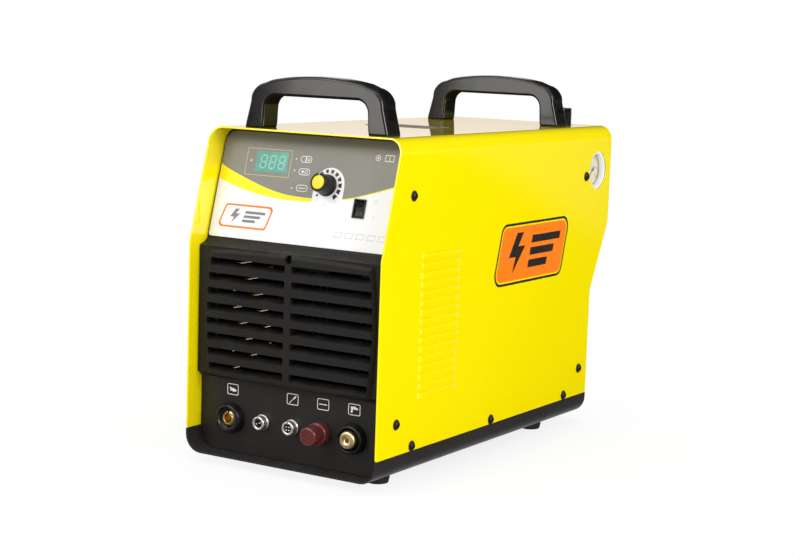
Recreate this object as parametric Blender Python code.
"""Air plasma cutter, portable inverter type: yellow sheet-steel hood on a black tray,
leaned control panel and louvred intake at the front, fan, breaker and air regulator at
the rear, power stage inside.

Datum used by every dimension below, in millimetres: x = 0 on the centre plane (+x is the
right-hand side seen from the front), y = 0 at the hood's lower front edge (+y to the
rear), z = 0 at the tray's underside. World coordinates are metres, shifted so that the
origin lies under the middle of the whole unit, at the bottom of the rubber feet."""

import math

import bmesh
import bpy
from mathutils import Vector

# ---------------------------------------------------------------- driving dimensions
HALF_W = 126.0          # hood, half width
SHEET = 2.0             # hood and tray sheet thickness
HOOD_TOP = 360.0        # hood's top face
HOOD_LOW = 26.0         # hood's lower edge
HOOD_BEND = 17.0        # outside bend radius of the hood
TRAY_BEND = 20.0        # outside bend radius of the tray
KNEE_Z = 235.0          # front edge leans back above this height
TOP_FRONT_Y = 34.0      # front edge of the top face
TOP_REAR_Y = 525.0      # rear edge of the top face
TAIL_Y = 483.0          # rear edge at the tray
FOOT_H = 10.0
GAP = 0.3               # clearance between neighbouring pieces
PANEL_GAP = 0.4         # clearance between the end panels and the sheet around them
LOW_FACE_Y = 23.5       # lower front panel face
OVERLAY_Y = 27.5        # overlay face at the knee height
REAR_FACE_Y = 463.0     # rear panel, outer face
PILOT_FRONT_Y = -3.0    # foremost point of the unit
LEAN = math.atan2(TOP_FRONT_Y, HOOD_TOP - KNEE_Z)
Y_MID = (PILOT_FRONT_Y + TOP_REAR_Y) / 2

# both end panels fit inside the sheet
PANEL_HALF = HALF_W - SHEET - PANEL_GAP
PANEL_LOW_Z = SHEET + PANEL_GAP
PANEL_TOP_Z = HOOD_TOP - SHEET - PANEL_GAP
PANEL_TOP_CORNER = HOOD_BEND - SHEET - PANEL_GAP

# side screws, the same on both sides: (y, z)
SIDE_SCREWS = {"top_front": (57.0, 300.0), "top_rear": (457.5, 300.0),
               "low_front": (36.5, 60.0), "low_rear": (460.0, 60.0)}
SIDES = ((-1, "left"), (1, "right"))

# air regulator and its gauge, also cut out of the hood
REG_X, REG_Y = 68.0, 489.5
GAUGE_Y, GAUGE_Z = REG_Y, 306.5

# ---------------------------------------------------------------- materials
# name: (base colour RGB, roughness, metallic)
MATERIALS = {
    "yellow_paint": ((1.0, 0.83, 0.0), 0.25, 0.0),
    "black_paint": ((0.018, 0.017, 0.016), 0.45, 0.0),
    "black_plastic": ((0.025, 0.024, 0.022), 0.5, 0.0),
    "overlay_print": ((0.85, 0.85, 0.85), 0.35, 0.0),
    "display_green": ((0.08, 0.32, 0.26), 0.15, 0.0),
    "knob_yellow": ((1.0, 0.75, 0.02), 0.35, 0.0),
    "rubber": ((0.012, 0.012, 0.012), 0.8, 0.0),
    "screw_black": ((0.03, 0.025, 0.022), 0.4, 0.6),
    "brass": ((0.72, 0.5, 0.16), 0.25, 1.0),
    "chrome": ((0.8, 0.8, 0.78), 0.12, 1.0),
    "red_plastic": ((0.14, 0.028, 0.03), 0.3, 0.0),
    "white_plastic": ((0.85, 0.85, 0.83), 0.35, 0.0),
    "clear_plastic": ((0.9, 0.93, 0.95), 0.05, 0.0),
    "bowl_plastic": ((0.75, 0.82, 0.86), 0.1, 0.0),
    "galvanised": ((0.6, 0.6, 0.6), 0.4, 0.9),
    "aluminium": ((0.75, 0.75, 0.76), 0.35, 1.0),
    "circuit_board": ((0.02, 0.14, 0.06), 0.45, 0.0),
    "copper_winding": ((0.55, 0.24, 0.1), 0.35, 1.0),
    "grey_plastic": ((0.35, 0.36, 0.36), 0.5, 0.0),
    "wire_steel": ((0.6, 0.6, 0.6), 0.25, 1.0),
}


def make_material(name, colour, roughness, metallic):
    mat = bpy.data.materials.new(name)
    mat.use_nodes = True
    inputs = mat.node_tree.nodes["Principled BSDF"].inputs
    inputs["Base Color"].default_value = (*colour, 1.0)
    inputs["Roughness"].default_value = roughness
    inputs["Metallic"].default_value = metallic
    mat.diffuse_color = (*colour, 1.0)
    return mat


# ---------------------------------------------------------------- shape helpers
# A shape is (points in mm, faces). Shapes are joined by add() before they become objects.
def add(*shapes):
    points, faces = [], []
    for shape_points, shape_faces in shapes:
        base = len(points)
        points += list(shape_points)
        faces += [tuple(i + base for i in face) for face in shape_faces]
    return points, faces


def prism(outline, axis, start, end):
    """Outline swept straight along an axis: (y, z) for X, (x, z) for Y, (x, y) for Z."""
    def put(first, second, along):
        return {"X": (along, first, second), "Y": (first, along, second),
                "Z": (first, second, along)}[axis]
    count = len(outline)
    points = [put(*point, start) for point in outline] + [put(*point, end) for point in outline]
    faces = [(i, (i + 1) % count, count + (i + 1) % count, count + i) for i in range(count)]
    return points, faces + [tuple(range(count))[::-1], tuple(range(count, 2 * count))]


def box(x0, x1, y0, y1, z0, z1):
    return prism([(x0, y0), (x1, y0), (x1, y1), (x0, y1)], "Z", z0, z1)


def side_span(side, inner, outer):
    """x limits, in rising order, of a span mirrored to the given side (-1 or 1)."""
    return sorted((side * inner, side * outer))


def loft(rings):
    """Solid through rings of equal point count, capped at both ends."""
    count, last = len(rings[0]), len(rings[0]) * (len(rings) - 1)
    faces = [tuple(range(count)), (last, *range(last + count - 1, last, -1))]
    for base in range(0, last, count):
        for i in range(count):
            following = (i + 1) % count
            faces.append((base + i, base + following,
                          base + count + following, base + count + i))
    return [point for ring in rings for point in ring], faces


def lathe(profile, axis, centre, steps=24, closed=False):
    """Profile of (radius, position along the axis) turned about an axis through centre.
    An open profile starts and ends on the axis; a closed one is a ring's section."""
    x, y, z = centre
    points, rows = [], []
    for radius, along in profile:
        if radius == 0:
            rows.append([len(points)])
            ring = [(0.0, 0.0)]
        else:
            rows.append(list(range(len(points), len(points) + steps)))
            angles = [2 * math.pi * k / steps for k in range(steps)]
            ring = [(radius * math.cos(angle), radius * math.sin(angle)) for angle in angles]
        for first, second in ring:
            points.append({"X": (x + along, y + first, z + second),
                           "Y": (x + first, y + along, z + second),
                           "Z": (x + first, y + second, z + along)}[axis])
    faces = []
    pairs = list(zip(rows, rows[1:])) + ([(rows[-1], rows[0])] if closed else [])
    for here, there in pairs:
        if len(here) == 1 and len(there) == 1:
            continue
        for k in range(steps):
            m = (k + 1) % steps
            if len(here) == 1:
                faces.append((here[0], there[m], there[k]))
            elif len(there) == 1:
                faces.append((here[k], here[m], there[0]))
            else:
                faces.append((here[k], here[m], there[m], there[k]))
    return points, faces


def rod(radius, span, axis, centre, steps):
    """Solid cylinder; span is (start, end) along the axis, measured from centre."""
    start, end = span
    return lathe([(0, start), (radius, start), (radius, end), (0, end)], axis, centre, steps)


def rounded(corners, steps=5):
    """Polygon corners (first, second, radius) with each corner replaced by an arc."""
    out = []
    for i, (first, second, radius) in enumerate(corners):
        if radius <= 0:
            out.append((first, second))
            continue
        here = Vector((first, second))
        back = (Vector(corners[i - 1][:2]) - here).normalized()
        ahead = (Vector(corners[(i + 1) % len(corners)][:2]) - here).normalized()
        half = back.angle(ahead) / 2
        reach = radius / math.tan(half)
        centre = here + (back + ahead).normalized() * (radius / math.sin(half))
        start, end = here + back * reach, here + ahead * reach
        start_angle = math.atan2(start.y - centre.y, start.x - centre.x)
        end_angle = math.atan2(end.y - centre.y, end.x - centre.x)
        turn = (end_angle - start_angle + math.pi) % (2 * math.pi) - math.pi
        for k in range(steps + 1):
            angle = start_angle + turn * k / steps
            out.append((centre.x + radius * math.cos(angle), centre.y + radius * math.sin(angle)))
    return out


def turned(outline, degrees, centre=(0.0, 0.0)):
    """Outline rotated about its own zero point, which is then put at centre."""
    cos, sin = math.cos(math.radians(degrees)), math.sin(math.radians(degrees))
    return [(centre[0] + first * cos - second * sin, centre[1] + first * sin + second * cos)
            for first, second in outline]


# ---------------------------------------------------------------- object helpers
SMOOTH_ANGLE = 35       # degrees; sharper edges are shaded flat
PANEL_ROT = (-LEAN, 0.0, 0.0)


def world(x, y, z):
    return Vector((x / 1000, (y - Y_MID) / 1000, (z + FOOT_H) / 1000))


def piece(name, shape, mat, origin, rotation=None):
    """Object from a shape. origin is in mm in the datum frame. With a rotation, the shape's
    points are already in the object's own axes, measured from origin. Without a material
    it is a hidden boolean tool."""
    points, faces = shape
    base = (0, 0, 0) if rotation else origin
    local = [tuple((value - zero) / 1000 for value, zero in zip(point, base))
             for point in points]
    mesh = bpy.data.meshes.new(name)
    mesh.from_pydata(local, [], faces)
    work = bmesh.new()
    work.from_mesh(mesh)
    bmesh.ops.recalc_face_normals(work, faces=work.faces)
    work.to_mesh(mesh)
    work.free()
    mesh.shade_smooth()
    mesh.set_sharp_from_angle(angle=math.radians(SMOOTH_ANGLE))
    obj = bpy.data.objects.new(name, mesh)
    bpy.context.scene.collection.objects.link(obj)
    obj.location = world(*origin)
    if rotation:
        obj.rotation_euler = rotation
    if mat is None:
        obj.hide_render = True
        obj.display_type = "WIRE"
    else:
        mesh.materials.append(materials[mat])
    obj.parent = rig
    return obj


def lathe_piece(name, profile, mat, axis, centre, steps, closed=False):
    """Turned piece with its origin at the centre its profile is measured from."""
    return piece(name, lathe(profile, axis, centre, steps, closed), mat, centre)


def boolean(obj, shape, operation, origin=(0, 0, 0), rotation=None):
    tool = piece(f"tool_{obj.name}_{len(obj.modifiers)}", shape, None, origin, rotation)
    mod = obj.modifiers.new(operation.lower(), "BOOLEAN")
    mod.operation = operation
    mod.object = tool
    mod.solver = "EXACT"


def soften(obj, width, angle):
    mod = obj.modifiers.new("soften", "BEVEL")
    mod.width = width / 1000
    mod.segments = 2
    mod.limit_method = "ANGLE"
    mod.angle_limit = math.radians(angle)


def on_panel(across, slope, depth=0.0):
    """Point on the leaned control panel: across in x, slope up the face from the knee,
    depth into the unit."""
    sin, cos = math.sin(LEAN), math.cos(LEAN)
    return (across, OVERLAY_Y + slope * sin + depth * cos, KNEE_Z + slope * cos - depth * sin)


def panel_piece(name, shape, mat, across=0, slope=0, depth=0):
    """Piece in the leaned panel's axes: x across, y into the unit, z up the slope."""
    return piece(name, shape, mat, on_panel(across, slope, depth), PANEL_ROT)


def panel_boolean(obj, shape, operation, across=0, slope=0):
    boolean(obj, shape, operation, on_panel(across, slope), PANEL_ROT)


def screw_hole(side, wall_x, where, reach):
    """Cutter for one side screw, reaching equally far to both sides of wall_x."""
    return rod(2.4, (-reach, reach), "X", (side * wall_x, *SIDE_SCREWS[where]), 10)


# ---------------------------------------------------------------- hood
OVERHANG_Z = 240.0      # rear edge is vertical above this height
TAIL_Z = 157.0          # and vertical again below this one
HOOD_TRIM = 20          # how far the side outline runs past the top and sides
EDGE_CORNER, KNEE_CORNER, OVERHANG_CORNER = 3, 12, 22
GAUGE_HOLE_R, REG_HOLE_R = 23.0, 18.0
LOUVRES, LOUVRE_PITCH, LOUVRE_TOP_Z = 16, 10.0, 232.0
LOUVRE_Y0, LOUVRE_Y1, LOUVRE_SLIT = 80.0, 156.0, 1.8


def channel_section(open_z, closed_z, bend):
    """Bent sheet as wide as the unit, seen from the front, open at open_z."""
    inner_half = HALF_W - SHEET
    inner_z = closed_z + math.copysign(SHEET, open_z - closed_z)
    outer = [(-HALF_W, open_z, 0), (-HALF_W, closed_z, bend),
             (HALF_W, closed_z, bend), (HALF_W, open_z, 0)]
    inner = [(inner_half, open_z, 0), (inner_half, inner_z, bend - SHEET),
             (-inner_half, inner_z, bend - SHEET), (-inner_half, open_z, 0)]
    return rounded(outer, 6) + rounded(inner, 6)


def hood_side():
    """Side view (y, z) that the hood is trimmed to."""
    over_z = HOOD_TOP + HOOD_TRIM
    over_y = TOP_FRONT_Y + TOP_FRONT_Y / (HOOD_TOP - KNEE_Z) * HOOD_TRIM
    return rounded([(0, HOOD_LOW, EDGE_CORNER), (0, KNEE_Z, KNEE_CORNER),
                    (over_y, over_z, 0), (TOP_REAR_Y, over_z, 0),
                    (TOP_REAR_Y, OVERHANG_Z, OVERHANG_CORNER), (TAIL_Y, TAIL_Z, OVERHANG_CORNER),
                    (TAIL_Y, HOOD_LOW, EDGE_CORNER)])


def build_hood():
    section = channel_section(HOOD_LOW - 4, HOOD_TOP, HOOD_BEND)
    hood = piece("housing_shell", prism(section, "Y", -10, TOP_REAR_Y + 10), "yellow_paint",
                 (0, 0, HOOD_LOW))
    trim_x = HALF_W + HOOD_TRIM
    boolean(hood, prism(hood_side(), "X", -trim_x, trim_x), "INTERSECT")
    holes = [rod(GAUGE_HOLE_R, (100, 140), "X", (0, GAUGE_Y, GAUGE_Z), 32),
             rod(REG_HOLE_R, (350, 370), "Z", (REG_X, REG_Y, 0), 24)]
    wall_x = HALF_W - SHEET / 2
    for side, _ in SIDES:
        for row in range(LOUVRES):
            z = LOUVRE_TOP_Z - row * LOUVRE_PITCH
            holes.append(box(side * wall_x - 4, side * wall_x + 4, LOUVRE_Y0, LOUVRE_Y1,
                             z - LOUVRE_SLIT / 2, z + LOUVRE_SLIT / 2))
        holes += [screw_hole(side, wall_x, where, 6) for where in SIDE_SCREWS]
    boolean(hood, add(*holes), "DIFFERENCE")


# ---------------------------------------------------------------- tray and feet
JOGGLE_INNER_X, JOGGLE_LOW_X = 121.4, 124.8
JOGGLE_LOW_Z, JOGGLE_TOP_Z = 19, 70
JOGGLE_Y0, JOGGLE_Y1 = 31, TAIL_Y - 8
FOOT_X, FOOT_FRONT_Y, FOOT_REAR_Y = 94.0, 53.5, 398.0
# (radius, z)
FOOT_PROFILE = [(0, -FOOT_H), (11.5, -FOOT_H), (12.6, -8.6), (14.0, -GAP), (0, -GAP)]


def build_tray():
    section = channel_section(HOOD_LOW - GAP, 0, TRAY_BEND)
    tray = piece("base_tray", prism(section, "Y", 0, TAIL_Y), "black_paint", (0, 0, 0))
    step_z, upper_x = HOOD_LOW - 1.5, HALF_W - SHEET - GAP
    for side, _ in SIDES:     # flange that steps inwards to stand inside the hood
        joggle = [(side * JOGGLE_INNER_X, JOGGLE_LOW_Z), (side * JOGGLE_LOW_X, JOGGLE_LOW_Z),
                  (side * JOGGLE_LOW_X, step_z), (side * upper_x, step_z),
                  (side * upper_x, JOGGLE_TOP_Z), (side * JOGGLE_INNER_X, JOGGLE_TOP_Z)]
        boolean(tray, prism(joggle, "Y", JOGGLE_Y0, JOGGLE_Y1), "UNION")
    boolean(tray, add(*[screw_hole(side, 122, where, 9)
                        for side, _ in SIDES for where in ("low_front", "low_rear")]),
            "DIFFERENCE")


def build_feet():
    for row, y in (("front", FOOT_FRONT_Y), ("rear", FOOT_REAR_Y)):
        for side, tag in SIDES:
            x = side * FOOT_X
            piece(f"foot_{row}_{tag}", lathe(FOOT_PROFILE, "Z", (x, y, 0), 20), "rubber",
                  (x, y, -FOOT_H))


# ---------------------------------------------------------------- front panel and overlay
PANEL_T = 3.0           # panel thickness, measured in y
PANEL_SET = 1.1         # panel face behind the overlay face
PANEL_EAR = [(44.5, 288), (51.1, 312), (68, 312), (68, 288)]   # (y, z)
PANEL_EAR_X = 117.5     # inner face of an ear
INTAKE_CUT = (-102, 102, 15, 40, 93, 222)                      # box limits
FRONT_CUT_Y = (10, 40)  # span of the round cutters
EAR_HOLE_X, EAR_HOLE_REACH = 121, 8

SOCKET_Z, EARTH_Z = 41.0, 40.2
EARTH_X, PIN2_X, PIN4_X, PILOT_X, TORCH_X = -80.0, -37.5, 2.0, 40.0, 82.0
LARGE_SOCKET_HOLE_R, SMALL_SOCKET_HOLE_R = 14.3, 8.0
GRILLE_SCREW_Z, GRILLE_SCREW_HOLE_R = 224.5, 1.9

# places on the leaned panel: across, up the slope
KNOB_ACROSS, KNOB_SLOPE = 24.0, 71.2
SWITCH_ACROSS, SWITCH_SLOPE = 69.3, 49.6
SWITCH_CUT_HALF_W, SWITCH_CUT_HALF_H = 6.9, 9.9
SHAFT_HOLE_R = 4.4
WINDOW = (-74.8, -33.0, 80.5, 103.3)   # display window: across from, to; slope from, to

OVERLAY_T = 0.8
OVERLAY_HALF = PANEL_HALF - 1.0
OVERLAY_LOW = 4.0       # lower edge, up the slope
OVERLAY_TOP = (PANEL_TOP_Z - 2.5 - KNEE_Z) / math.cos(LEAN)


def window_box(inset, y0, y1):
    across0, across1, slope0, slope1 = WINDOW
    return box(across0 + inset, across1 - inset, y0, y1, slope0 + inset, slope1 - inset)


def panel_openings(window_inset, depth):
    """Cutters for switch, display window and knob shaft, in the leaned panel's axes."""
    return add(box(SWITCH_ACROSS - SWITCH_CUT_HALF_W, SWITCH_ACROSS + SWITCH_CUT_HALF_W,
                   -3, depth, SWITCH_SLOPE - SWITCH_CUT_HALF_H, SWITCH_SLOPE + SWITCH_CUT_HALF_H),
               window_box(window_inset, -3, depth),
               rod(SHAFT_HOLE_R, (-3, depth), "Y", (KNOB_ACROSS, 0, KNOB_SLOPE), 16))


def build_front_panel():
    knee_y = OVERLAY_Y + PANEL_SET / math.cos(LEAN)
    face = [(LOW_FACE_Y, PANEL_LOW_Z), (LOW_FACE_Y, 232.0),
            (knee_y + 1.6 * math.tan(LEAN), KNEE_Z + 1.6),
            (knee_y + (PANEL_TOP_Z - KNEE_Z) * math.tan(LEAN), PANEL_TOP_Z)]
    profile = face + [(y + PANEL_T, z) for y, z in reversed(face)]
    panel = piece("front_panel", prism(profile, "X", -PANEL_HALF - 5, PANEL_HALF + 5),
                  "black_plastic", (0, LOW_FACE_Y, 0))
    low_corner = TRAY_BEND - SHEET - PANEL_GAP
    outline = rounded([(-PANEL_HALF, PANEL_LOW_Z, low_corner),
                       (PANEL_HALF, PANEL_LOW_Z, low_corner),
                       (PANEL_HALF, PANEL_TOP_Z, PANEL_TOP_CORNER),
                       (-PANEL_HALF, PANEL_TOP_Z, PANEL_TOP_CORNER)])
    boolean(panel, prism(outline, "Y", -20, 90), "INTERSECT")
    for side, _ in SIDES:     # ears that take the upper side screws
        boolean(panel, prism(PANEL_EAR, "X", *side_span(side, PANEL_EAR_X, PANEL_HALF)), "UNION")
    cuts = [box(*INTAKE_CUT)]
    for x, z, radius in ((EARTH_X, EARTH_Z, LARGE_SOCKET_HOLE_R),
                         (PIN2_X, SOCKET_Z, SMALL_SOCKET_HOLE_R),
                         (PIN4_X, SOCKET_Z, SMALL_SOCKET_HOLE_R),
                         (PILOT_X, SOCKET_Z, SMALL_SOCKET_HOLE_R),
                         (TORCH_X, SOCKET_Z, LARGE_SOCKET_HOLE_R)):
        cuts.append(rod(radius, FRONT_CUT_Y, "Y", (x, 0, z), 24))
    cuts.append(rod(GRILLE_SCREW_HOLE_R, FRONT_CUT_Y, "Y", (0, 0, GRILLE_SCREW_Z), 10))
    cuts += [screw_hole(side, EAR_HOLE_X, "top_front", EAR_HOLE_REACH) for side, _ in SIDES]
    boolean(panel, add(*cuts), "DIFFERENCE")
    panel_boolean(panel, panel_openings(window_inset=1, depth=12), "DIFFERENCE")


def build_overlay():
    outline = rounded([(-OVERLAY_HALF, OVERLAY_LOW, 1.5), (OVERLAY_HALF, OVERLAY_LOW, 1.5),
                       (OVERLAY_HALF, OVERLAY_TOP, 14.5), (-OVERLAY_HALF, OVERLAY_TOP, 14.5)])
    overlay = panel_piece("control_overlay", prism(outline, "Y", 0, OVERLAY_T), "overlay_print")
    panel_boolean(overlay, panel_openings(window_inset=0, depth=5), "DIFFERENCE")
    panel_piece("display_window", window_box(GAP, -0.2, OVERLAY_T), "display_green")


# ---------------------------------------------------------------- intake grille
GRILLE_ROWS, GRILLE_PITCH, GRILLE_TOP_ROW, GRILLE_SLOT = 8, 16.65, 214.0, 9.0
GRILLE_BACK_Z0, GRILLE_BACK_Z1 = 83.0, 232.5
GRILLE_BACK_Y = LOW_FACE_Y - GAP
GRILLE_BASE_Y, GRILLE_FIELD_Y = 15.5, 11.0   # front faces of the base and of the raised field
FIELD_HALF_W, FIELD_BULGE = 107.0, 5.2       # at the corners; extra at mid height
FIELD_TOP, FIELD_LOW, FIELD_DROP = 229.4, 84.6, 2.8   # drop: top and bottom towards the corners
FIELD_MID, FIELD_HALF_H = 157.0, 70.0        # centre and half height of the bulged sides
FIELD_STEPS = 8
# (radius, y)
SCREW_POCKET = [(0, 5), (3.9, 5), (3.9, 20.3), (1.9, 20.3), (1.9, 30), (0, 30)]
GRILLE_SCREW = [(0, 17.6), (2.6, 17.6), (3.5, 18.4), (3.5, 20.0), (1.6, 20.0), (1.6, 33), (0, 33)]


def field_ring(y, grow=0.0):
    """Barrel-sided outline of the grille's raised field, at depth y."""
    half_w, half_h = FIELD_HALF_W + grow, FIELD_HALF_H + grow
    rising = [-1 + 2 * k / FIELD_STEPS for k in range(FIELD_STEPS + 1)]
    falling = [1 - 2 * k / FIELD_STEPS for k in range(FIELD_STEPS + 1)]

    def side_x(part):
        return half_w + FIELD_BULGE * (1 - part * part)

    outline = [(half_w * part, FIELD_TOP + grow - FIELD_DROP * part * part) for part in rising]
    outline += [(side_x(part), FIELD_MID + half_h * part) for part in falling[1:-1]]
    outline += [(half_w * part, FIELD_LOW - grow + FIELD_DROP * part * part) for part in falling]
    outline += [(-side_x(part), FIELD_MID + half_h * part) for part in rising[1:-1]]
    return [(x, y, z) for x, z in outline]


def grille_slots():
    """Sloping slots either side of a centre bar; the rows are widest at mid height."""
    slots, half = [], GRILLE_SLOT / 2
    for row in range(GRILLE_ROWS):
        z = GRILLE_TOP_ROW - row * GRILLE_PITCH
        reach = 104.4 + 4.4 * (1 - ((z - 156) / 60) ** 2)
        section = [(5, z - half - 1.2), (30, z + half * 0.25), (30, z + half + 1.4), (5, z + half)]
        slots += [prism(section, "X", *side_span(side, 4.2, reach)) for side, _ in SIDES]
    return slots


def build_grille():
    half_w = PANEL_HALF - 0.6
    base = [(GRILLE_BACK_Y, GRILLE_BACK_Z0), (GRILLE_BACK_Y, GRILLE_BACK_Z1),
            (GRILLE_BASE_Y, GRILLE_BACK_Z1 - 2.6), (GRILLE_BASE_Y, GRILLE_BACK_Z0 + 5.5)]
    grille = piece("front_grille", prism(base, "X", -half_w, half_w), "black_plastic",
                   (0, GRILLE_BACK_Y, (GRILLE_BACK_Z0 + GRILLE_BACK_Z1) / 2))
    field = loft([field_ring(GRILLE_FIELD_Y, -3.6), field_ring(GRILLE_BASE_Y - 0.6),
                  field_ring(GRILLE_BASE_Y + 3)])
    boolean(grille, field, "UNION")
    screw_axis = (0, 0, GRILLE_SCREW_Z)
    boolean(grille, add(*grille_slots(), lathe(SCREW_POCKET, "Y", screw_axis, 16)), "DIFFERENCE")
    piece("grille_screw", lathe(GRILLE_SCREW, "Y", screw_axis, 16), "screw_black",
          (0, 20, GRILLE_SCREW_Z))


# ---------------------------------------------------------------- carrying handles
HANDLE_Y = {"front_handle": 52.5, "rear_handle": 436.0}   # front face
HANDLE_DEPTH = 28.0
HANDLE_BASE_Z = HOOD_TOP + GAP
HANDLE_TOP_Z = 418.2


def handle_outline():
    """Arched handle seen from the front: crowned top, splayed legs, rounded window."""
    right = [(94.0, HANDLE_BASE_Z), (86.5, HANDLE_BASE_Z + 30)]
    for k in range(1, 7):                       # shoulder
        angle = math.radians(12 + k * 11.5)
        right.append((64.5 + 22.5 * math.cos(angle), 389.0 + 20.4 * math.sin(angle)))
    for x in (52.0, 35.0, 18.0):                # crowned top
        right.append((x, HANDLE_TOP_Z - 7.4 * (x / 68.0) ** 2))
    outer = right + [(0.0, HANDLE_TOP_Z)] + [(-x, z) for x, z in reversed(right)]
    window = [(68.3, HANDLE_BASE_Z), (67.0, HANDLE_BASE_Z + 20)]
    for k in range(1, 6):                       # rounded upper corner
        angle = math.radians(k * 18)
        window.append((54.0 + 13.0 * math.cos(angle), 382.6 + 13.0 * math.sin(angle)))
    return outer + [(-x, z) for x, z in window] + window[::-1]


def build_handles():
    for name, y in HANDLE_Y.items():
        grip = piece(name, prism(handle_outline(), "Y", y, y + HANDLE_DEPTH), "black_plastic",
                     (0, y + HANDLE_DEPTH / 2, HANDLE_BASE_Z))
        soften(grip, width=3.0, angle=50)


# ---------------------------------------------------------------- side screws
# (radius, distance out from the hood's side)
SIDE_SCREW = [(0, 3.6), (2.8, 3.4), (4.2, 2.0), (4.4, 1.0), (5.4, 1.0), (5.4, GAP),
              (2.0, GAP), (2.0, -7.5), (0, -7.5)]


def build_side_screws():
    for where, (y, z) in SIDE_SCREWS.items():
        for side, tag in SIDES:
            profile = [(radius, side * (HALF_W + out)) for radius, out in SIDE_SCREW]
            piece(f"side_screw_{where}_{tag}", lathe(profile, "X", (0, y, z), 12),
                  "screw_black", (side * HALF_W, y, z))


# ---------------------------------------------------------------- control panel pieces
# box limits in the leaned panel's axes; the bezel's are measured from the switch centre
BEZEL_RIM = (-7.5, 7.5, -1.6, -GAP, -10.3, 10.3)
BEZEL_BODY = (-6.6, 6.6, -1.0, 18, -9.6, 9.6)
BEZEL_WELL = (-5.4, 5.4, -4, 9, -8.6, 8.6)
CONTROL_BOARD = (-95, 95, 24, 25.6, 22, 108)
# V-topped rocker: (depth, up the slope) from its pivot
ROCKER = [(-3.2, 7.6), (-1.0, 0.0), (-3.2, -7.6), (3.2, -6.2), (5.6, 0.0), (3.2, 6.2)]
ROCKER_TILT = 10        # degrees, lower half pushed in
ROCKER_DEPTH = 1.6      # pivot behind the overlay face
# (radius, depth)
KNOB = [(0, -12.4), (3.3, -12.4), (3.3, -0.6), (11.8, -0.6), (11.8, -3.4), (11.2, -4.2),
        (10.2, -18.2), (9.4, -19.0), (7.8, -19.0), (7.8, -18.0), (0, -18.0)]
KNOB_CAP = [(0, -18.3), (7.5, -18.3), (7.5, -19.3), (6.6, -19.8), (0, -19.8)]


def build_switch():
    spot = (SWITCH_ACROSS, SWITCH_SLOPE)
    bezel = panel_piece("switch_bezel", box(*BEZEL_RIM), "black_plastic", *spot)
    panel_boolean(bezel, box(*BEZEL_BODY), "UNION", *spot)
    panel_boolean(bezel, box(*BEZEL_WELL), "DIFFERENCE", *spot)
    panel_piece("switch_rocker", prism(turned(ROCKER, ROCKER_TILT), "X", -5.0, 5.0),
                "black_plastic", *spot, ROCKER_DEPTH)


def build_current_knob():
    centre = (0, 0, 0)
    for name, shape, mat in (
            ("potentiometer_body", rod(12, (5.6, 16), "Y", centre, 20), "grey_plastic"),
            ("potentiometer_shaft", rod(3.0, (5.2, -12), "Y", centre, 12), "aluminium"),
            ("current_knob", lathe(KNOB, "Y", centre, 28), "black_plastic"),
            ("current_knob_cap", lathe(KNOB_CAP, "Y", centre, 24), "knob_yellow")):
        panel_piece(name, shape, mat, KNOB_ACROSS, KNOB_SLOPE)


def build_control_board():
    panel_piece("control_board", box(*CONTROL_BOARD), "circuit_board")


# ---------------------------------------------------------------- lower front sockets
# Profiles are (radius, distance behind the lower panel face); negative stands out in front.
EARTH_HOUSING = [(8.6, -9.6), (14.4, -9.6), (16.1, -8.2), (17.1, -2.0), (17.1, -GAP),
                 (13.9, -GAP), (13.9, 26), (8.6, 26)]
EARTH_INSERT = [(0, 12), (4.9, 12), (4.9, -8.0), (7.0, -8.0), (7.0, -6.8), (8.2, -6.2),
                (8.2, 32), (0, 32)]
SIGNAL_SOCKET = [(0, 2), (6.1, 2), (6.1, -10.2), (7.3, -10.6), (7.8, -10.0), (7.8, -2.4),
                 (9.6, -2.4), (9.6, -GAP), (7.7, -GAP), (7.7, 16), (0, 16)]
TORCH_HOUSING = [(8.9, -10.4), (14.2, -10.4), (15.8, -9.2), (16.7, -2.0), (16.7, -GAP),
                 (13.9, -GAP), (13.9, 22), (8.9, 22)]
TORCH_CORE = [(0, -2), (2.4, -2), (2.4, -12.8), (4.2, -14.2), (8.2, -14.2), (9.6, -13.0),
              (9.8, -10.8), (8.4, -10.7), (8.4, 34), (0, 34)]
PILOT_BASE_REACH = 11.0     # base stands this far out of the panel
PILOT_BORE_R = 3.4
PILOT_BORE_END = 5.9        # end of the cap's bore behind the cap's front
PILOT_BASE = [(PILOT_BORE_R, -PILOT_BASE_REACH), (11.9, -PILOT_BASE_REACH), (12.8, -10.0),
              (12.8, -GAP), (7.7, -GAP), (7.7, 18), (PILOT_BORE_R, 18)]


def build_earth_socket():
    centre = (EARTH_X, LOW_FACE_Y, EARTH_Z)
    lathe_piece("earth_socket_housing", EARTH_HOUSING, "black_plastic", "Y", centre, 28, True)
    lathe_piece("earth_socket_insert", EARTH_INSERT, "brass", "Y", centre, 24)


def build_signal_sockets():
    for name, x in (("signal_socket_2pin", PIN2_X), ("signal_socket_4pin", PIN4_X)):
        lathe_piece(name, SIGNAL_SOCKET, "chrome", "Y", (x, LOW_FACE_Y, SOCKET_Z), 20)


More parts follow.
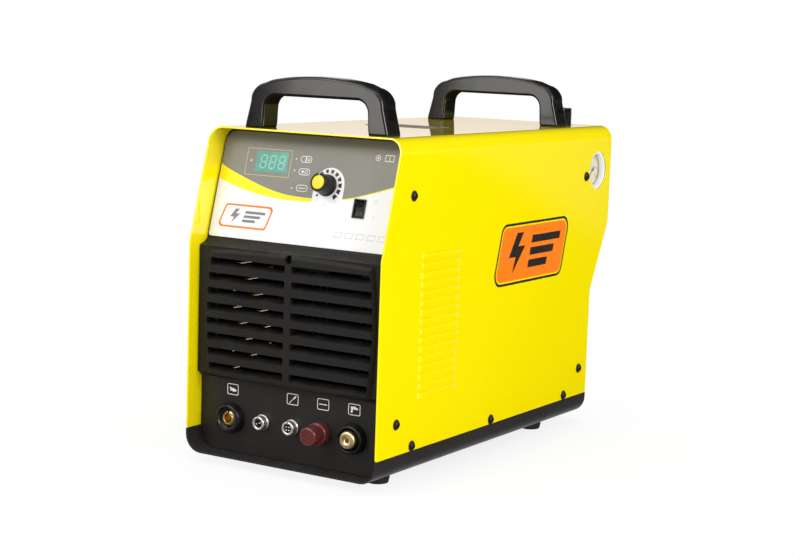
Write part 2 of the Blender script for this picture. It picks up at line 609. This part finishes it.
def build_pilot_terminal():
    centre = (PILOT_X, LOW_FACE_Y, SOCKET_Z)
    lathe_piece("pilot_terminal_base", PILOT_BASE, "red_plastic", "Y", centre, 24, True)
    insert_front = PILOT_FRONT_Y + PILOT_BORE_END + GAP - LOW_FACE_Y
    piece("pilot_terminal_insert", rod(3.1, (insert_front, 24), "Y", centre, 16), "brass", centre)
    # the cap's profile is measured from its own front
    back = LOW_FACE_Y - PILOT_BASE_REACH - GAP - PILOT_FRONT_Y
    cap = [(0, 0), (9.2, 0), (10.1, 0.9), (10.4, back), (PILOT_BORE_R, back),
           (PILOT_BORE_R, PILOT_BORE_END), (0, PILOT_BORE_END)]
    lathe_piece("pilot_terminal_cap", cap, "red_plastic", "Y",
                (PILOT_X, PILOT_FRONT_Y, SOCKET_Z), 28)


def build_torch_socket():
    centre = (TORCH_X, LOW_FACE_Y, SOCKET_Z)
    lathe_piece("torch_socket_housing", TORCH_HOUSING, "black_plastic", "Y", centre, 28, True)
    lathe_piece("torch_socket_core", TORCH_CORE, "brass", "Y", centre, 24)


# ---------------------------------------------------------------- rear panel
REAR_T = 2.0
REAR_INNER_Y = REAR_FACE_Y - REAR_T
REAR_LOW_HALF, REAR_STEP_Z = 118.0, 71   # narrower below this height, inside the tray
REAR_CUT_Y = (440, 480)                  # span of the cutters
PLAIN_HOLE_X, PLAIN_HOLE_Z, PLAIN_HOLE_R = 30, 262, 6.5
FAN_Z, FAN_HOLE_R = 108.0, 56
BREAKER_X, BREAKER_Z = -55.0, 290.0
BREAKER_CUT_HALF_W, BREAKER_CUT_HALF_H = 27.2, 23.2
GLAND_X, GLAND_Z, GLAND_HOLE_R = -88.0, 205.0, 10.6


def build_rear_panel():
    outline = rounded([(-REAR_LOW_HALF, PANEL_LOW_Z, 15), (REAR_LOW_HALF, PANEL_LOW_Z, 15),
                       (REAR_LOW_HALF, REAR_STEP_Z, 0), (PANEL_HALF, REAR_STEP_Z, 0),
                       (PANEL_HALF, PANEL_TOP_Z, PANEL_TOP_CORNER),
                       (-PANEL_HALF, PANEL_TOP_Z, PANEL_TOP_CORNER),
                       (-PANEL_HALF, REAR_STEP_Z, 0), (-REAR_LOW_HALF, REAR_STEP_Z, 0)])
    rear = piece("rear_panel", prism(outline, "Y", REAR_INNER_Y, REAR_FACE_Y), "black_paint",
                 (0, REAR_FACE_Y, 0))
    for side, _ in SIDES:     # flanges that take the upper side screws
        boolean(rear, box(*side_span(side, 119.0, PANEL_HALF), 446, REAR_INNER_Y + 1, 80, 335),
                "UNION")
    cuts = [rod(FAN_HOLE_R, REAR_CUT_Y, "Y", (0, 0, FAN_Z), 40),
            box(BREAKER_X - BREAKER_CUT_HALF_W, BREAKER_X + BREAKER_CUT_HALF_W, *REAR_CUT_Y,
                BREAKER_Z - BREAKER_CUT_HALF_H, BREAKER_Z + BREAKER_CUT_HALF_H),
            rod(GLAND_HOLE_R, REAR_CUT_Y, "Y", (GLAND_X, 0, GLAND_Z), 20),
            rod(PLAIN_HOLE_R, REAR_CUT_Y, "Y", (PLAIN_HOLE_X, 0, PLAIN_HOLE_Z), 16)]
    cuts += [screw_hole(side, EAR_HOLE_X, "top_rear", EAR_HOLE_REACH) for side, _ in SIDES]
    boolean(rear, add(*cuts), "DIFFERENCE")


# ---------------------------------------------------------------- fan
FAN_SIZE, FAN_DEPTH, FAN_TUNNEL_R = 119.0, 37.0, 56.5
FAN_FRONT_Y = REAR_INNER_Y - GAP - FAN_DEPTH
FAN_BACK_Y = REAR_INNER_Y - GAP
FAN_AXIS = (0, 0, FAN_Z)
STRUT_REACH, STRUT_HALF, STRUT_T = 58, 2.5, 4
BLADES = 7
BLADE_RADII = (17.0, 30.0, 43.0, 54.5)
# blade section corners: (share of the chord, mm across the thickness)
BLADE_CORNERS = ((-0.5, -0.9), (0.5, -0.9), (0.5, 0.9), (-0.5, 0.9))
GUARD_Y = REAR_FACE_Y + GAP
GUARD_RING_RADII = (12.0, 26.0, 40.0)
GUARD_REACH = 66


def build_fan_frame():
    """Square frame with a tunnel; four struts at its front carry the motor seat."""
    half = FAN_SIZE / 2
    frame = piece("fan_frame", box(-half, half, FAN_FRONT_Y, FAN_BACK_Y,
                                   FAN_Z - half, FAN_Z + half),
                  "black_plastic", (0, FAN_FRONT_Y, FAN_Z))
    boolean(frame, rod(FAN_TUNNEL_R, (FAN_FRONT_Y - 5, FAN_BACK_Y + 5), "Y", FAN_AXIS, 40),
            "DIFFERENCE")
    strut_y = (FAN_FRONT_Y, FAN_FRONT_Y + STRUT_T)
    boolean(frame, box(-STRUT_REACH, STRUT_REACH, *strut_y,
                       FAN_Z - STRUT_HALF, FAN_Z + STRUT_HALF), "UNION")
    boolean(frame, box(-STRUT_HALF, STRUT_HALF, *strut_y,
                       FAN_Z - STRUT_REACH, FAN_Z + STRUT_REACH), "UNION")
    boolean(frame, rod(19, (FAN_FRONT_Y, FAN_FRONT_Y + 4.4), "Y", FAN_AXIS, 24), "UNION")


def fan_blade(root_angle):
    """One blade; its angle from the fan's axis eases towards the tip."""
    mid_y = (FAN_FRONT_Y + FAN_BACK_Y) / 2 + 2.0
    rings = []
    for radius in BLADE_RADII:
        out = radius - BLADE_RADII[0]
        twist = math.radians(52 - 0.45 * out)
        chord = 20 + 0.22 * out
        rake = math.radians(0.35 * out)
        ring = []
        for along, thick in BLADE_CORNERS:
            around = along * chord * math.sin(twist) + thick * math.cos(twist)
            axial = along * chord * math.cos(twist) - thick * math.sin(twist)
            angle = root_angle + rake + around / radius
            ring.append((radius * math.cos(angle), mid_y + axial,
                         FAN_Z + radius * math.sin(angle)))
        rings.append(ring)
    return loft(rings)


def build_fan_rotor():
    hub = [(0, FAN_FRONT_Y + 5), (20, FAN_FRONT_Y + 5), (20, FAN_BACK_Y - 4),
           (18, FAN_BACK_Y - 2), (0, FAN_BACK_Y - 2)]
    rotor = piece("fan_rotor", lathe(hub, "Y", FAN_AXIS, 28), "black_plastic",
                  (0, FAN_FRONT_Y + FAN_DEPTH / 2, FAN_Z))
    boolean(rotor, add(*[fan_blade(2 * math.pi * k / BLADES) for k in range(BLADES)]), "UNION")


def guard_ring(inner, outer, start, steps):
    section = [(inner, start), (outer, start), (outer, start + 2), (inner, start + 2)]
    return lathe(section, "Y", FAN_AXIS, steps, closed=True)


def build_fan_guard():
    """Outer ring, three inner rings and a cross of bars."""
    guard = piece("fan_guard", guard_ring(52.6, 54.6, GUARD_Y, 28), "wire_steel",
                  (0, GUARD_Y, FAN_Z))
    boolean(guard, add(*[guard_ring(radius - 0.9, radius + 0.9, GUARD_Y + 1, 20)
                         for radius in GUARD_RING_RADII]), "UNION")
    bar_y = (GUARD_Y, GUARD_Y + 2)
    boolean(guard, box(-GUARD_REACH, GUARD_REACH, *bar_y, FAN_Z - 1, FAN_Z + 1), "UNION")
    boolean(guard, box(-1, 1, *bar_y, FAN_Z - GUARD_REACH, FAN_Z + GUARD_REACH), "UNION")


# ---------------------------------------------------------------- breaker and cable gland
BREAKER_HALF_W, BREAKER_HALF_H = 26.8, 22.6
BREAKER_FRONT_Y, BREAKER_BACK_Y = 396, REAR_FACE_Y + 7.0
LEVER_Y = BREAKER_BACK_Y - 8.0
LEVER_ANGLE = -38       # degrees; hangs down at rest (off), swings up to close the poles
LEVER_ARM = [(0, -3.2), (16.5, -2.2), (16.5, 2.2), (0, 3.2)]   # (out, up) before the turn
# (radius, distance behind the rear panel's outer face)
GLAND = [(7.0, -REAR_T - 9), (10.2, -REAR_T - 9), (10.2, GAP), (14.5, GAP), (14.5, 6.5),
         (11.8, 7.0), (11.8, 11), (13.6, 12), (13.6, 24), (10.0, 29), (7.0, 29)]


def build_breaker():
    """Body through the panel with a recess at the rear for the three-pole lever."""
    body = piece("breaker_body",
                 box(BREAKER_X - BREAKER_HALF_W, BREAKER_X + BREAKER_HALF_W,
                     BREAKER_FRONT_Y, BREAKER_BACK_Y,
                     BREAKER_Z - BREAKER_HALF_H, BREAKER_Z + BREAKER_HALF_H),
                 "grey_plastic", (BREAKER_X, BREAKER_BACK_Y, BREAKER_Z))
    boolean(body, box(BREAKER_X - 23, BREAKER_X + 23, BREAKER_BACK_Y - 15, BREAKER_BACK_Y + 5,
                      BREAKER_Z - 10, BREAKER_Z + 10), "DIFFERENCE")
    pivot = (BREAKER_X, LEVER_Y, BREAKER_Z)
    lever = piece("breaker_lever", rod(6.2, (-22.4, 22.4), "X", pivot, 16), "black_plastic", pivot)
    arm = turned(LEVER_ARM, LEVER_ANGLE, (LEVER_Y, BREAKER_Z))
    boolean(lever, prism(arm, "X", BREAKER_X - 20, BREAKER_X + 20), "UNION")


def build_cable_gland():
    lathe_piece("cable_gland", GLAND, "black_plastic", "Y", (GLAND_X, REAR_FACE_Y, GLAND_Z),
                18, True)


# ------------------------------------------- air filter-regulator under the overhang
REG_HALF_W, REG_HALF_D = 20, 19
REG_LOW_Z, REG_TOP_Z = 280, 333.6
BRACKET_LOW_Z, BRACKET_Z0, BRACKET_Z1 = 300, 334.0, 336.0
REG_AXIS = (REG_X, REG_Y, 0)
REG_KNOB_R, REG_KNOB_TOP = 16.0, 381.0
# turned parts on the regulator's axis: name, material, steps, origin z, profile (radius, z)
REG_PARTS = (
    ("regulator_bowl", "bowl_plastic", 24, 279.5,
     [(0, 206), (3.5, 206), (3.5, 190), (8, 190), (16, 194), (18.5, 202), (18.5, 279.5),
      (0, 279.5)]),
    ("bowl_drain", "black_plastic", 16, 186,
     [(0, 176), (5.5, 176), (5.8, 178), (5.8, 184), (4.6, 186), (3.1, 186), (3.1, 201),
      (0, 201)]),
    ("regulator_spindle", "brass", 12, 345.4,
     [(0, 345.4), (4.6, 345.4), (4.6, 368), (0, 368)]),
    ("regulator_knob", "black_plastic", 28, 349,
     [(0, 373), (5.0, 373), (5.0, 349), (13.2, 349), (13.2, 336.6), (REG_KNOB_R, 336.6),
      (REG_KNOB_R, 379.4), (REG_KNOB_R - 1.6, REG_KNOB_TOP), (0, REG_KNOB_TOP)]),
)


def build_regulator():
    body = piece("regulator_body",
                 box(REG_X - REG_HALF_W, REG_X + REG_HALF_W, REG_Y - REG_HALF_D,
                     REG_Y + REG_HALF_D, REG_LOW_Z, REG_TOP_Z),
                 "grey_plastic", (REG_X, REG_Y, GAUGE_Z))
    soften(body, width=3.0, angle=40)
    boolean(body, rod(12.6, (330, 345), "Z", REG_AXIS, 20), "UNION")                 # neck
    boolean(body, rod(6.5, (-48, -15), "X", (REG_X, REG_Y, GAUGE_Z), 14), "UNION")   # left stub
    for name, mat, steps, origin_z, profile in REG_PARTS:
        piece(name, lathe(profile, "Z", REG_AXIS, steps), mat, (REG_X, REG_Y, origin_z))


def build_regulator_bracket():
    """Angle from the rear panel out over the body, holed for the neck."""
    front, reach = REAR_FACE_Y + GAP, REG_Y + REG_HALF_D
    section = [(front, BRACKET_LOW_Z), (front + 2.0, BRACKET_LOW_Z), (front + 2.0, BRACKET_Z0),
               (reach, BRACKET_Z0), (reach, BRACKET_Z1), (front, BRACKET_Z1)]
    bracket = piece("regulator_bracket", prism(section, "X", REG_X - 19, REG_X + 19),
                    "galvanised", (REG_X, REAR_FACE_Y, 334))
    boolean(bracket, rod(13.0, (325, 345), "Z", REG_AXIS, 24), "DIFFERENCE")


# ---------------------------------------------------------------- pressure gauge
# (radius, distance out from the hood's right side)
GAUGE_STEM_START = REG_X + REG_HALF_W + 0.4 - HALF_W
GAUGE_CASE = [(0, GAUGE_STEM_START), (5.0, GAUGE_STEM_START), (5.0, -21), (21.0, -21),
              (22.3, -18), (22.3, -0.6), (21.0, 0), (19.6, 0), (18.4, -8.5), (0, -8.5)]
GAUGE_LENS = [(0, -2.6), (18.7, -2.6), (18.9, -1.4), (0, -1.4)]
NEEDLE = [(-4.5, -0.8), (14.5, -0.35), (14.5, 0.35), (-4.5, 0.8)]   # (along, across)
NEEDLE_ANGLE = 225      # degrees; zero stop, low and towards the front


def build_gauge():
    face = (HALF_W, GAUGE_Y, GAUGE_Z)
    lathe_piece("gauge_case", GAUGE_CASE, "white_plastic", "X", face, 32)
    piece("gauge_lens", lathe(GAUGE_LENS, "X", face, 28), "clear_plastic",
          (HALF_W - 2, GAUGE_Y, GAUGE_Z))
    needle = piece("gauge_needle", rod(2.0, (-8.1, -6.0), "X", face, 12), "black_plastic",
                   (HALF_W - 7, GAUGE_Y, GAUGE_Z))
    pointer = turned(NEEDLE, NEEDLE_ANGLE, (GAUGE_Y, GAUGE_Z))
    boolean(needle, prism(pointer, "X", HALF_W - 7.4, HALF_W - 6.6), "UNION")


# ---------------------------------------------------------------- power stage
# plate with its side edges turned down: (x, z)
CHASSIS_SECTION = [(-117, 232), (-117, 224), (-115.5, 224), (-115.5, 230.5),
                   (115.5, 230.5), (115.5, 224), (117, 224), (117, 232)]
# box limits
POWER_BOARD = (-104, 104, 84, 404, 240, 241.6)
TRANSFORMER_CORE = (-104, -14, 336, 402, 6, 84)
TRANSFORMER_WINDING = (-92, -26, 330, 408, 20, 70)
SOLENOID_BODY = (82, 112, 384, 414, 188, 218)
SOLENOID_BASE = (86, 108, 372, 426, 176, 190)
# heatsink
FINS, FIN_PITCH, FIN_T, FIN_FIRST_X = 9, 9.5, 2.4, 22.0
FIN_LOW_Z, FIN_ROOT_Z, SINK_TOP_Z = 80, 196, 204
# reactor section: (radius, distance along y)
REACTOR = [(22, -20), (42, -20), (44, -16), (44, 16), (42, 20), (22, 20)]


def build_boards():
    piece("chassis_plate", prism(CHASSIS_SECTION, "Y", 62, 418), "galvanised", (0, 240, 232))
    piece("power_board", box(*POWER_BOARD), "circuit_board", (0, 240, 240))


def build_heatsinks():
    """Comb sections, fins pointing down."""
    for side, tag in SIDES:
        comb = []
        for k in range(FINS):
            x = FIN_FIRST_X + k * FIN_PITCH
            comb += [(side * x, FIN_LOW_Z), (side * (x + FIN_T), FIN_LOW_Z)]
            if k < FINS - 1:
                comb += [(side * (x + FIN_T), FIN_ROOT_Z), (side * (x + FIN_PITCH), FIN_ROOT_Z)]
        far_x = FIN_FIRST_X + (FINS - 1) * FIN_PITCH + FIN_T
        comb += [(side * far_x, SINK_TOP_Z), (side * FIN_FIRST_X, SINK_TOP_Z)]
        piece(f"heatsink_{tag}", prism(comb, "Y", 120, 320), "aluminium",
              (side * 60, 220, SINK_TOP_Z))


def build_magnetics():
    core = piece("main_transformer", box(*TRANSFORMER_CORE), "grey_plastic", (-59, 369, 6))
    boolean(core, box(*TRANSFORMER_WINDING), "UNION")
    lathe_piece("output_reactor", REACTOR, "copper_winding", "Y", (58, 372, 52), 28, True)


def build_solenoid():
    valve = piece("gas_solenoid", box(*SOLENOID_BODY), "black_plastic", (97, 400, 188))
    boolean(valve, box(*SOLENOID_BASE), "UNION")


# ---------------------------------------------------------------- build
for old in list(bpy.data.objects):
    bpy.data.objects.remove(old, do_unlink=True)
materials = {name: make_material(name, *values) for name, values in MATERIALS.items()}
rig = bpy.data.objects.new("plasma_cutter", None)
bpy.context.scene.collection.objects.link(rig)

for build in (build_hood, build_tray, build_feet, build_front_panel, build_overlay,
              build_grille, build_handles, build_side_screws, build_switch,
              build_current_knob, build_control_board, build_earth_socket,
              build_signal_sockets, build_pilot_terminal, build_torch_socket,
              build_rear_panel, build_fan_frame, build_fan_rotor, build_fan_guard,
              build_breaker, build_cable_gland, build_regulator, build_regulator_bracket,
              build_gauge, build_boards, build_heatsinks, build_magnetics, build_solenoid):
    build()
